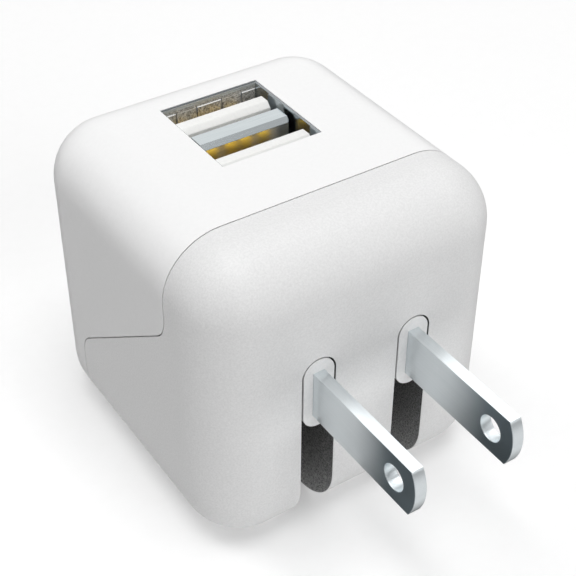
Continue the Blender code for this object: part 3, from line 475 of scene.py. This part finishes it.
def nickel_plate():
    """Bright nickel over rolled brass strip: cool grey, fine rolling lines along the blade that
    smear what it mirrors, and side faces painted darker towards the tip, a painted dark reflection."""
    made, tree, output, place = new_material("nickel_plate")
    along = add(tree, "ShaderNodeMapping", {"Vector": place, "Scale": (1.0, 0.02, 1.0)})
    lines = add(tree, "ShaderNodeTexNoise", {"Vector": along.outputs["Vector"], "Scale": 1 / (0.12 * MM),
                                             "Detail": 3.0, "Roughness": 0.6})
    cloud = add(tree, "ShaderNodeTexNoise", {"Vector": place, "Scale": 1 / (3 * MM), "Detail": 3.0})
    rough = add(tree, "ShaderNodeMapRange", {"Value": cloud.outputs["Fac"], "To Min": 0.33, "To Max": 0.42})
    tint = two_tone(tree, lines.outputs["Fac"], "#dfe6e9", "#eef3f5")
    bump = add(tree, "ShaderNodeBump", {"Height": lines.outputs["Fac"], "Strength": 0.2,
                                        "Distance": 0.002 * MM})
    roll = add(tree, "ShaderNodeVectorTransform", {"Vector": (0.04, 1.0, 0.04)}, vector_type="VECTOR",
               convert_from="OBJECT", convert_to="WORLD")
    facing = add(tree, "ShaderNodeSeparateXYZ", {"Vector": place.node.outputs["Normal"]})
    side = add(tree, "ShaderNodeMath", {0: facing.outputs["X"]}, operation="ABSOLUTE")
    # Painted reflection: only the side faces, which face along X, are painted darker towards the tip.
    painted_dark_fade = fade(tree, place, "Y", painted_dark_from, painted_dark_from - painted_dark_over, interpolation_type="SMOOTHSTEP")
    painted_dark_sides = add(tree, "ShaderNodeMath", {0: painted_dark_fade, 1: side.outputs[0]}, operation="MULTIPLY")
    tint = add(tree, "ShaderNodeMix", {"Factor": painted_dark_sides.outputs[0], 6: tint, 7: from_srgb("#7a858b")},
               data_type="RGBA").outputs[2]
    shader = add(tree, "ShaderNodeBsdfPrincipled", {
        "Base Color": tint, "Metallic": 1.0, "Roughness": rough.outputs["Result"],
        "Normal": bump.outputs["Normal"], "Tangent": roll.outputs["Vector"], "Anisotropic": 0.9,
        "Anisotropic Rotation": 0.25})
    tree.links.new(shader.outputs["BSDF"], output.inputs["Surface"])
    return made


nickel = nickel_plate()
for name, slot_x in zip(("blade_left", "blade_right"), blade_places):
    blade = shown(name + "_plated", prism(blade_side(0, pivot.y + shaft_radius - 2 * root_fit), "X",
                                          slot_x - blade_half, slot_x + blade_half))
    punch = ring((body_low.y - hole_reach, blade_z), hole_radius)
    combine(blade, prism(punch, "X", slot_x - 2 * blade_half, slot_x + 2 * blade_half), "DIFFERENCE")
    break_edges(blade, blade_edge, 2, 50)
    smooth(blade, 20)
    dress(blade, nickel, "blades", "nickel", name)

# ---- Receptacle shell --------------------------------------------------------------------
# The stacked receptacle's shell is folded from bright tinned steel sheet and drops into the
# window in the rear casing half, its mouth level with the top.
sheet = 0.16 * MM
mouth_step = 0.04 * MM          # the casing stands this much above the mouth
mouth_z = body_high.z - mouth_step


def bright_tin():
    """Tin-plated steel as it comes from the roll: cool grey, glossy, with faint crystals. Its
    chamfered rim at the mouth is painted darker, painted shade.
    """
    made, tree, output, place = new_material("bright_tinned_steel")
    mottle = add(tree, "ShaderNodeTexNoise", {"Vector": place, "Scale": 1 / (0.4 * MM), "Detail": 3.0})
    tint = two_tone(tree, mottle.outputs["Fac"], "#9aa1a5", "#bcc3c7")
    # Painted shade: the band from one sheet thickness under the mouth up to the mouth is painted darker.
    painted_shade_rim = fade(tree, place, "Z", mouth_z - 1.1 * sheet, mouth_z - sheet)
    tint = add(tree, "ShaderNodeMix", {"Factor": painted_shade_rim, 6: tint, 7: from_srgb("#7b7f81")},
               data_type="RGBA").outputs[2]
    rough = add(tree, "ShaderNodeMapRange", {"Value": mottle.outputs["Fac"], "To Min": 0.14, "To Max": 0.26})
    shader = add(tree, "ShaderNodeBsdfPrincipled", {
        "Base Color": tint, "Metallic": 1.0, "Roughness": rough.outputs["Result"]})
    tree.links.new(shader.outputs["BSDF"], output.inputs["Surface"])
    return made


receptacle = shown("receptacle_shell", box(shell_low, (shell_high.x, shell_high.y, mouth_z)))
combine(receptacle, box((shell_low.x + sheet, shell_low.y + sheet, shell_low.z - MM),
                        (shell_high.x - sheet, shell_high.y - sheet, mouth_z + MM)), "DIFFERENCE")
rolled = box((shell_low.x + sheet, shell_low.y + sheet, mouth_z - sheet),
             (shell_high.x - sheet, shell_high.y - sheet, mouth_z + 0.1 * sheet))
for vertex in rolled.verts:
    if vertex.co.z > mouth_z:
        vertex.co.x += math.copysign(sheet, vertex.co.x)
        vertex.co.y += math.copysign(sheet, vertex.co.y - (shell_low.y + shell_high.y) / 2)
combine(receptacle, rolled, "DIFFERENCE")
tin = bright_tin()
dress(receptacle, tin, "casing", "tinned_sheet", "usb_shell")

# ---- Spring panels of the shell ----------------------------------------------------------
# Two tabs are cut free in each broad wall and lean in to grip the plug, with stamped pads
# between them. Stamping leaves these faces pebbled. A band under the mouth is painted bright,
# painted light, and the pads' top edges carry a painted highlight.
tab_rise = 0.06 * MM
pad_rise = 0.14 * MM
pad_top = shell_high.z - 0.82 * MM
painted_highlight_depth = 0.03 * MM               # depth of the painted highlight along the pads' top edges
tab_places = (-3.17 * MM, 2.98 * MM)
tab_width = 2.76 * MM
tab_gap = 0.16 * MM
tab_length = 6.0 * MM
tab_lean = 0.5 * MM
mouth_band_depth = 0.45 * MM              # depth of the band under the mouth painted bright, painted light


def pebbled_tin():
    """Stamped tin plate: fine pebbles that glint and hold grime, a band under the mouth painted
    bright as painted light, and a painted highlight along the pads' top edges.
    """
    made, tree, output, place = new_material("pebbled_tinned_steel")
    pebbles = add(tree, "ShaderNodeTexNoise", {"Vector": place, "Scale": 1 / (0.19 * MM), "Detail": 3.0,
                                               "Roughness": 0.7})
    grime = two_tone(tree, pebbles.outputs["Fac"], "#66655f", "#eeeeec", 0.32, 0.68)
    parts = add(tree, "ShaderNodeSeparateXYZ", {"Vector": place})
    # Painted light: the band under the mouth is painted a bright grey.
    painted_light_band = fade(tree, place, "Z", mouth_z - 1.2 * mouth_band_depth, mouth_z - 0.9 * mouth_band_depth)
    pebbles_with_painted_light = add(tree, "ShaderNodeMix", {"Factor": painted_light_band, 6: grime, 7: from_srgb("#c6cac9")},
                data_type="RGBA")
    # Painted highlight: a near-white line is painted along the pads' top edges.
    painted_highlight_band = add(tree, "ShaderNodeMath", {0: parts.outputs["Z"], 1: pad_top, 2: painted_highlight_depth},
                   operation="COMPARE")
    tint = add(tree, "ShaderNodeMix", {"Factor": painted_highlight_band.outputs[0], 6: pebbles_with_painted_light.outputs[2],
                                       7: from_srgb("#fbfcfc")}, data_type="RGBA")
    bump = add(tree, "ShaderNodeBump", {"Height": pebbles.outputs["Fac"], "Strength": 0.5,
                                        "Distance": 0.01 * MM})
    shader = add(tree, "ShaderNodeBsdfPrincipled", {
        "Base Color": tint.outputs[2], "Metallic": 0.45, "Roughness": 0.45,
        "Normal": bump.outputs["Normal"]})
    tree.links.new(shader.outputs["BSDF"], output.inputs["Surface"])
    return made


edges = [shell_low.x + sheet]
for tab_x in tab_places:
    edges += [tab_x - tab_width / 2, tab_x + tab_width / 2]
edges.append(shell_high.x - sheet)
tab_low = pad_top - tab_length
panels = shown("spring_panels", bmesh.new())
for wall_y, inward in ((shell_high.y - sheet, -1), (shell_low.y + sheet, 1)):
    ends = sorted((wall_y, wall_y + inward * tab_rise / 2))
    combine(panels, box((edges[0], ends[0], tab_low), (edges[-1], ends[1], mouth_z - sheet)), "UNION")
    for place, (start, end) in enumerate(zip(edges, edges[1:])):
        tab = place % 2 == 1
        ends = sorted((wall_y, wall_y + inward * (tab_rise if tab else pad_rise)))
        top_z = mouth_z - mouth_band_depth if tab else pad_top
        panel = box((start + tab_gap / 2, ends[0], tab_low), (end - tab_gap / 2, ends[1], top_z))
        if tab:
            for vertex in panel.verts:
                if vertex.co.z < tab_low + MM and (vertex.co.y - wall_y) * inward > 0:
                    vertex.co.y += inward * tab_lean
        combine(panels, panel, "UNION")
    for cut_x in edges[1:-1]:
        cut_low = (cut_x - tab_gap / 2, min(wall_y - 2 * sheet, wall_y + 2 * sheet), tab_low)
        cut_high = (cut_x + tab_gap / 2, max(wall_y - 2 * sheet, wall_y + 2 * sheet), pad_top + tab_gap / 2)
        combine(panels, box(cut_low, cut_high), "DIFFERENCE")
        combine(receptacle, box(cut_low, cut_high), "DIFFERENCE")
dress(panels, pebbled_tin(), "casing", "tinned_sheet", "usb_shell")

# ---- Port divider ------------------------------------------------------------------------
# A strip of the same tinned sheet folded into a bar that closes the gap between the two ports.
# Its front edge is bent in two steps, which leaves a sloping face along it.
divider_low, divider_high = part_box("usb_divider")
slope = 0.63 * MM
drop = 0.53 * MM
nick = 0.22 * MM                # the bar's ends are turned in
end_gap = 0.12 * MM             # it sits against one side of the shell
fold_round = 0.02 * MM

section = [(divider_low.y, divider_low.z), (divider_low.y, divider_high.z - drop),
           (divider_low.y + slope, divider_high.z), (divider_high.y, divider_high.z),
           (divider_high.y, divider_low.z)]
divider = shown("port_divider", prism(section, "X", divider_low.x + end_gap, divider_high.x))
turned_in = [(divider_low.x, divider_high.y + MM), (divider_low.x, divider_low.y + nick + end_gap),
             (divider_low.x + nick + end_gap, divider_low.y), (divider_high.x - nick, divider_low.y),
             (divider_high.x, divider_low.y + nick), (divider_high.x, divider_high.y + MM)]
combine(divider, prism(turned_in, "Z", 0, 2 * divider_high.z), "INTERSECT")
hollow = [(divider_low.y + sheet, divider_low.z - MM),
          (divider_low.y + sheet, divider_high.z - drop - sheet / 2),
          (divider_low.y + slope + sheet / 2, divider_high.z - sheet),
          (divider_high.y - sheet, divider_high.z - sheet), (divider_high.y - sheet, divider_low.z - MM)]
combine(divider, prism(hollow, "X", 2 * divider_low.x, 2 * divider_high.x), "DIFFERENCE")
break_edges(divider, fold_round, 2, 25)


def tinned_bar():
    """The bar's slope and top are greyer and keep the roll's gloss. Its front wall is paler and
    satin, so it gives a soft picture of the contacts opposite it. The two tones of the one sheet are
    painted light and shade: the paler front wall painted light, the greyer slope and top painted shade."""
    made, tree, output, place = new_material("folded_tinned_bar")
    streak = add(tree, "ShaderNodeMapping", {"Vector": place, "Scale": (0.05, 1.0, 1.0)})
    lines = add(tree, "ShaderNodeTexNoise", {"Vector": streak.outputs["Vector"], "Scale": 1 / (0.15 * MM),
                                             "Detail": 2.0})
    grey = two_tone(tree, lines.outputs["Fac"], "#a6acae", "#b0b6b8")
    top = fade(tree, place, "Z", divider_high.z - drop - 3 * fold_round, divider_high.z - drop)
    # Painted light and shade: one tin sheet in two tones, the front wall painted paler and the slope and top
    # painted greyer.
    tint = add(tree, "ShaderNodeMix", {"Factor": top, 6: from_srgb("#e6e6e2"), 7: grey}, data_type="RGBA")
    rough = add(tree, "ShaderNodeMapRange", {"Value": top, "To Min": 0.28, "To Max": 0.13})
    bump = add(tree, "ShaderNodeBump", {"Height": lines.outputs["Fac"], "Strength": 0.2,
                                        "Distance": 0.003 * MM})
    shader = add(tree, "ShaderNodeBsdfPrincipled", {
        "Base Color": tint.outputs[2], "Metallic": 1.0, "Roughness": rough.outputs["Result"],
        "Normal": bump.outputs["Normal"]})
    tree.links.new(shader.outputs["BSDF"], output.inputs["Surface"])
    return made


dress(divider, tinned_bar(), "casing", "tinned_sheet", "usb_divider")

# ---- Insulator with its tongues ----------------------------------------------------------
# One white moulding of glass-filled polyester holds both rows of contacts. Each tongue's tip is
# chamfered all round so that a plug finds its way in.
insulator_low, insulator_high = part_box("usb_insulator")
tongue_half = 5.87 * MM
tongue_thickness = 1.95 * MM
tongue_places = (insulator_low.y + 0.43 * MM, insulator_low.y + 9.23 * MM)
base_height = 2.6 * MM
base_top = insulator_low.z + base_height
lead_in = 0.65 * MM             # slope along the front of each tip
tongue_edge = 0.06 * MM

insulator = shown("tongue_moulding", box(insulator_low, (insulator_high.x, insulator_high.y, base_top)))
for tongue_y in tongue_places:
    tongue_back = tongue_y + tongue_thickness
    profile = [(tongue_y, base_top - MM), (tongue_back, base_top - MM), (tongue_back, insulator_high.z),
               (tongue_y + lead_in, insulator_high.z), (tongue_y, insulator_high.z - lead_in)]
    tongue = prism(profile, "X", -tongue_half, tongue_half)
    tips = [edge for edge in tongue.edges if min(vertex.co.z for vertex in edge.verts) > base_top]
    bmesh.ops.bevel(tongue, geom=tips, offset=tongue_edge, segments=2, profile=0.5, affect="EDGES")
    combine(insulator, tongue, "UNION")
smooth(insulator, 25)
tongue_white = moulded_white("white_polyester", "#e6e6e4", "#ededeb", 0.5, 0.3 * MM, 0.004 * MM)
dress(insulator, tongue_white, "casing", "white_insulator", "usb_insulator")

# ---- Contacts ----------------------------------------------------------------------------
# Each tongue carries four gold-plated bronze strips, an inner pair and an outer pair. A strip
# stands proud of the tongue, bows out where it touches the plug and dips back at its tip.
contact_low, contact_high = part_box("usb_contact_front_1")
contact_width = 1.5 * MM
contact_sheet = 0.2 * MM
inner_pitch = 2.0 * MM
outer_pitch = 7.0 * MM


def gold_plate():
    """Flash gold over nickel: warm, bright, with a slightly uneven polish."""
    made, tree, output, place = new_material("gold_plate")
    cloud = add(tree, "ShaderNodeTexNoise", {"Vector": place, "Scale": 1 / (0.8 * MM), "Detail": 2.0})
    rough = add(tree, "ShaderNodeMapRange", {"Value": cloud.outputs["Fac"], "To Min": 0.38, "To Max": 0.48})
    tint = two_tone(tree, cloud.outputs["Fac"], "#f5c22e", "#fddc5c")
    shader = add(tree, "ShaderNodeBsdfPrincipled", {
        "Base Color": tint, "Metallic": 1.0, "Roughness": rough.outputs["Result"]})
    tree.links.new(shader.outputs["BSDF"], output.inputs["Surface"])
    return made


def contact_row_tree(strip, look):
    """Geometry nodes: a strip on an inner and an outer pair of points."""
    tree = bpy.data.node_groups.new("contact_row", "GeometryNodeTree")
    tree.interface.new_socket("Geometry", in_out="INPUT", socket_type="NodeSocketGeometry")
    for label in ("Inner pitch", "Outer pitch", "Row Y"):
        tree.interface.new_socket(label, in_out="INPUT", socket_type="NodeSocketFloat")
    tree.interface.new_socket("Geometry", in_out="OUTPUT", socket_type="NodeSocketGeometry")
    values = tree.nodes.new("NodeGroupInput").outputs
    pairs = []
    for label in ("Inner pitch", "Outer pitch"):
        half = add(tree, "ShaderNodeMath", {0: values[label], 1: -0.5}, operation="MULTIPLY")
        start = add(tree, "ShaderNodeCombineXYZ", {"X": half.outputs[0], "Y": values["Row Y"]})
        step = add(tree, "ShaderNodeCombineXYZ", {"X": values[label]})
        line = add(tree, "GeometryNodeMeshLine", {"Count": 2, "Start Location": start.outputs[0],
                                                  "Offset": step.outputs[0]})
        pairs.append(line.outputs["Mesh"])
    points = tree.nodes.new("GeometryNodeJoinGeometry")
    for pair in pairs:
        tree.links.new(pair, points.inputs[0])
    source = add(tree, "GeometryNodeObjectInfo", {"Object": strip})
    spread = add(tree, "GeometryNodeInstanceOnPoints", {"Points": points.outputs[0],
                                                        "Instance": source.outputs["Geometry"]})
    real = add(tree, "GeometryNodeRealizeInstances", {"Geometry": spread.outputs["Instances"]})
    coated = add(tree, "GeometryNodeSetMaterial", {"Geometry": real.outputs["Geometry"], "Material": look})
    add(tree, "NodeGroupOutput", {"Geometry": coated.outputs["Geometry"]})
    return tree


bow = 0.6 * MM
tip = contact_high.z
outer_path = [(0, contact_low.z), (0, tip - 4.6 * MM), (bow, tip - 2.0 * MM), (bow, tip - 1.1 * MM),
              (bow * 0.5, tip - 0.55 * MM), (-contact_sheet / 2, tip - 0.25 * MM), (-contact_sheet / 2, tip)]
front_side = rounded_path(outer_path, (3 * MM, 0.8 * MM, 0.5 * MM, 0.4 * MM, 0.1 * MM))
back_side = [(y + contact_sheet, z) for y, z in front_side]
strip = shown("contact_strip", prism(front_side + back_side[::-1], "X",
                                     -contact_width / 2, contact_width / 2))
smooth(strip, 30)
gold = gold_plate()
row_tree = contact_row_tree(strip, gold)
sockets = {item.name: item.identifier for item in row_tree.interface.items_tree if item.in_out == "INPUT"}
for row in ("front", "rear"):
    row_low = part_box(f"usb_contact_{row}_1")[0]
    contacts = shown(f"contact_row_{row}", bmesh.new())
    spreading = contacts.modifiers.new("row", "NODES")
    spreading.node_group = row_tree
    spreading[sockets["Inner pitch"]] = inner_pitch
    spreading[sockets["Outer pitch"]] = outer_pitch
    spreading[sockets["Row Y"]] = row_low.y
    apply_modifiers(contacts)
    dress(contacts, gold, "casing", "gold_plate", *[f"usb_contact_{row}_{number}" for number in range(1, 5)])
bpy.data.objects.remove(strip)

# ---- Parts inside the casing -------------------------------------------------------------
# The boards, transformer, capacitors, springs and wires keep their CAD shapes. They only show
# where the casing is taken apart, so each has a plain finish with its own grain.


def inner_finish(name, dark, light, metallic, roughness, scale):
    """A part finish whose colour wanders between two close tones."""
    made, tree, output, place = new_material(name)
    mottle = add(tree, "ShaderNodeTexNoise", {"Vector": place, "Scale": 1 / scale, "Detail": 3.0})
    tint = two_tone(tree, mottle.outputs["Fac"], dark, light)
    bump = add(tree, "ShaderNodeBump", {"Height": mottle.outputs["Fac"], "Strength": 0.5,
                                        "Distance": 0.01 * MM})
    shader = add(tree, "ShaderNodeBsdfPrincipled", {
        "Base Color": tint, "Metallic": metallic, "Roughness": roughness,
        "Normal": bump.outputs["Normal"]})
    tree.links.new(shader.outputs["BSDF"], output.inputs["Surface"])
    return made


inner_looks = {
    "natural_nylon": inner_finish("natural_nylon", "#c9c2ae", "#d8d2c2", 0.0, 0.5, 0.6 * MM),
    "spring_steel": inner_finish("spring_steel", "#9fa2a4", "#b9bdc0", 1.0, 0.25, 0.3 * MM),
    "brass_strip": inner_finish("brass_strip", "#b98f3c", "#d1aa55", 1.0, 0.3, 0.3 * MM),
    "lead_insulation": inner_finish("lead_insulation", "#8d1717", "#a32020", 0.0, 0.45, 0.5 * MM),
    "board_laminate": inner_finish("board_laminate", "#1c5a2c", "#24693a", 0.0, 0.4, 0.4 * MM),
    "ferrite": inner_finish("sintered_ferrite", "#2b2b2e", "#3c3c40", 0.0, 0.6, 0.2 * MM),
    "yellow_tape": inner_finish("polyester_tape", "#d9b02a", "#e6c045", 0.0, 0.35, 2 * MM),
    "dark_sleeve": inner_finish("shrink_sleeve", "#15171f", "#1f2230", 0.0, 0.35, 1 * MM),
    "green_coating": inner_finish("resistor_coating", "#51794f", "#5f875c", 0.0, 0.5, 0.3 * MM),
    "blue_coating": inner_finish("dipped_epoxy", "#2f63b5", "#3a70c2", 0.0, 0.35, 0.5 * MM),
    "black_package": inner_finish("moulding_compound", "#1a1a1b", "#262628", 0.0, 0.6, 0.15 * MM),
}
slots = {part["node"]: part["material_slot"] for part in frame["record"]["subparts"]}
for node, part in frame["nodes"].items():
    if slots[node] in inner_looks:
        part.data.materials.clear()
        part.data.materials.append(inner_looks[slots[node]])

# ---- Floor, light and camera -------------------------------------------------------------
# A plain pale sheet under soft light: a broad soft source above and in front to the right, a
# second one behind, and an even pale surround that is darker towards the left and below.
camera_azimuth = math.radians(-33.65)
camera_elevation = math.radians(38.70)
camera_roll = math.radians(0.25)
camera_distance = 161.4 * MM
camera_lens = 81.5
aim_height = 14 * MM
aim_right = 2.6 * MM
aim_up = 4.1 * MM

back = Vector((math.sin(camera_azimuth) * math.cos(camera_elevation),
               -math.cos(camera_azimuth) * math.cos(camera_elevation), math.sin(camera_elevation)))
level = Vector((math.cos(camera_azimuth), math.sin(camera_azimuth), 0))
upward = back.cross(level)
right = level * math.cos(camera_roll) + upward * math.sin(camera_roll)
up = upward * math.cos(camera_roll) - level * math.sin(camera_roll)
target = Vector((0, 0, aim_height)) + right * aim_right + up * aim_up
lens = bpy.data.cameras.new("camera")
lens.lens = camera_lens
lens.clip_start = 5 * MM
camera = bpy.data.objects.new("camera", lens)
bpy.context.scene.collection.objects.link(camera)
camera.matrix_world = Matrix.Translation(target + back * camera_distance) @ Matrix(
    (right, up, back)).transposed().to_4x4()
bpy.context.scene.camera = camera

floor_size = 3.0
floor_thickness = 0.01
floor_drop = 0.02 * MM          # keeps the sheet clear of the charger's underside
floor = shown("floor", box((-floor_size, -floor_size, -floor_thickness),
                           (floor_size, floor_size, -floor_drop)))
floor_look, tree, output, place = new_material("pale_paper")
weave = add(tree, "ShaderNodeTexNoise", {"Vector": place, "Scale": 1 / (2 * MM), "Detail": 4.0})
tint = two_tone(tree, weave.outputs["Fac"], "#dadada", "#dedede")
shader = add(tree, "ShaderNodeBsdfPrincipled", {"Base Color": tint, "Roughness": 0.9,
                                                "Specular IOR Level": 0.1,
                                                "Emission Color": (1.0, 1.0, 1.0, 1.0),
                                                "Emission Strength": 0.28})
tree.links.new(shader.outputs["BSDF"], output.inputs["Surface"])
floor.data.materials.append(floor_look)
floor.visible_glossy = False


light_aim = Vector((0, 0, 0.02))


def soft_light(name, place, size, power):
    """Square soft source aimed at the charger."""
    data = bpy.data.lights.new(name, "AREA")
    data.size = size
    data.energy = power
    made = bpy.data.objects.new(name, data)
    bpy.context.scene.collection.objects.link(made)
    made.location = place
    made.rotation_mode = "QUATERNION"
    made.rotation_quaternion = (Vector(place) - light_aim).to_track_quat("Z", "Y")


soft_light("overhead", (0.0, -0.1, 1.2), 0.9, 13.5)
soft_light("front", (0.1, -1.1, 0.6), 0.7, 4.2)
soft_light("rear_left", (-0.5, 0.6, 0.8), 0.6, 1.9)

world = bpy.data.worlds.new("surround")
world.use_nodes = True
bpy.context.scene.world = world
tree = world.node_tree
tree.nodes.clear()
ray = add(tree, "ShaderNodeTexCoord").outputs["Generated"]
parts = add(tree, "ShaderNodeSeparateXYZ", {"Vector": ray})
height = add(tree, "ShaderNodeMapRange", {"Value": parts.outputs["Z"], "From Min": -0.3, "From Max": 0.2},
             interpolation_type="SMOOTHSTEP")
low_glow = add(tree, "ShaderNodeMapRange", {"Value": parts.outputs["Y"], "From Min": 0.4, "From Max": -0.5,
                                            "To Min": 0.07, "To Max": 0.85}, interpolation_type="SMOOTHSTEP")
high_glow = add(tree, "ShaderNodeMapRange", {"Value": parts.outputs["Y"], "From Min": 0.0, "From Max": 0.6,
                                             "To Min": 0.85, "To Max": 1.5}, interpolation_type="SMOOTHSTEP")
flag = add(tree, "ShaderNodeMapRange", {"Value": parts.outputs["Y"], "From Min": -0.5, "From Max": -0.8,
                                        "To Min": 0.0, "To Max": 0.9}, interpolation_type="SMOOTHSTEP")
shade = add(tree, "ShaderNodeMath", {0: 1.0, 1: flag.outputs["Result"]}, operation="SUBTRACT")
high_glow = add(tree, "ShaderNodeMath", {0: high_glow.outputs["Result"], 1: shade.outputs[0]},
                operation="MULTIPLY")
mirrored = add(tree, "ShaderNodeMix", {"Factor": height.outputs["Result"], 2: low_glow.outputs["Result"],
                                       3: high_glow.outputs["Value"]})
path = add(tree, "ShaderNodeLightPath")
strength = add(tree, "ShaderNodeMath", {0: mirrored.outputs["Result"], 1: path.outputs["Is Glossy Ray"]},
               operation="MULTIPLY")
glow = add(tree, "ShaderNodeBackground", {"Color": (1, 1, 1, 1), "Strength": strength.outputs["Value"]})
add(tree, "ShaderNodeOutputWorld", {"Surface": glow.outputs["Background"]})
bpy.context.scene.view_settings.view_transform = "Standard"
